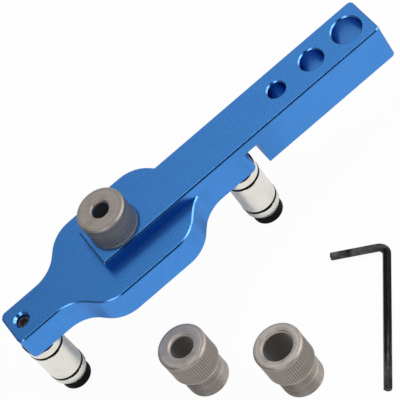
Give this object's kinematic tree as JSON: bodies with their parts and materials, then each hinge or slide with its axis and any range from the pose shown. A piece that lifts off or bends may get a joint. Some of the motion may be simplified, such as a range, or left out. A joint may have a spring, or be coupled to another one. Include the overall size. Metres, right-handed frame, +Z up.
{
  "type": "self centering doweling jig",
  "caption": "Doweling jig: swelled plate with raised bar and drilled end block, screw-in drill bushing, two legs with rolling guide sleeves, spare bushings and hex key.",
  "frame": {"origin": "on the drill axis of the fitted bushing, at the top face of the raised bar", "axes": "+X along the bar from the bushing to the end block, +Z up along the drill axis, +Y away from the spare bushings"},
  "size_m": [0.1476, 0.1017, 0.054],
  "materials": {
    "anodised_blue": "blue anodised over fine bead blasting, satin",
    "bushing_steel": "turned and knurled, dull warm grey",
    "leg_steel": "fine turned, satin bright",
    "black_rubber": "smooth black rubber",
    "blackened_steel": "black oxide, slightly oiled"
  },
  "bodies": {
    "jig": {"jig_body": "anodised_blue", "left_set_screw": "blackened_steel", "left_leg_post": "leg_steel", "left_leg_washer": "black_rubber", "left_leg_top_collar": "leg_steel", "left_leg_upper_seal": "black_rubber", "left_leg_lower_seal": "black_rubber", "left_leg_bottom_collar": "leg_steel", "left_leg_foot": "black_rubber", "right_leg_post": "leg_steel", "right_leg_washer": "black_rubber", "right_leg_top_collar": "leg_steel", "right_leg_upper_seal": "black_rubber", "right_leg_lower_seal": "black_rubber", "right_leg_bottom_collar": "leg_steel", "right_leg_foot": "black_rubber"},
    "left_sleeve": {"left_guide_sleeve": "leg_steel"},
    "right_sleeve": {"right_guide_sleeve": "leg_steel"},
    "fitted_bushing": {"drill_bushing_6mm": "bushing_steel"},
    "spare_bushing_8mm": {"spare_bushing_8mm": "bushing_steel"},
    "spare_bushing_10mm": {"spare_bushing_10mm": "bushing_steel"},
    "hex_key": {"hex_key": "blackened_steel"}
  },
  "joints": [
    {"name": "left_sleeve_roll", "type": "hinge", "parent": "jig", "child": "left_sleeve", "pos_m": [-0.0405, 0, -0.027], "axis": [0, 0, 1], "continuous": true},
    {"name": "right_sleeve_roll", "type": "hinge", "parent": "jig", "child": "right_sleeve", "pos_m": [0.0405, 0, -0.027], "axis": [0, 0, 1], "continuous": true},
    {"name": "bushing_unscrew", "type": "slide", "parent": "jig", "child": "fitted_bushing", "axis": [0, 0, 1], "range_m": [0, 0.013]},
    {"name": "spare_8mm_lift", "type": "slide", "parent": "jig", "child": "spare_bushing_8mm", "axis": [0, 0, 1], "range_m": [0, 0.03]},
    {"name": "spare_10mm_lift", "type": "slide", "parent": "jig", "child": "spare_bushing_10mm", "axis": [0, 0, 1], "range_m": [0, 0.03]},
    {"name": "hex_key_lift", "type": "slide", "parent": "jig", "child": "hex_key", "axis": [0, 0, 1], "range_m": [0, 0.03]}
  ]
}
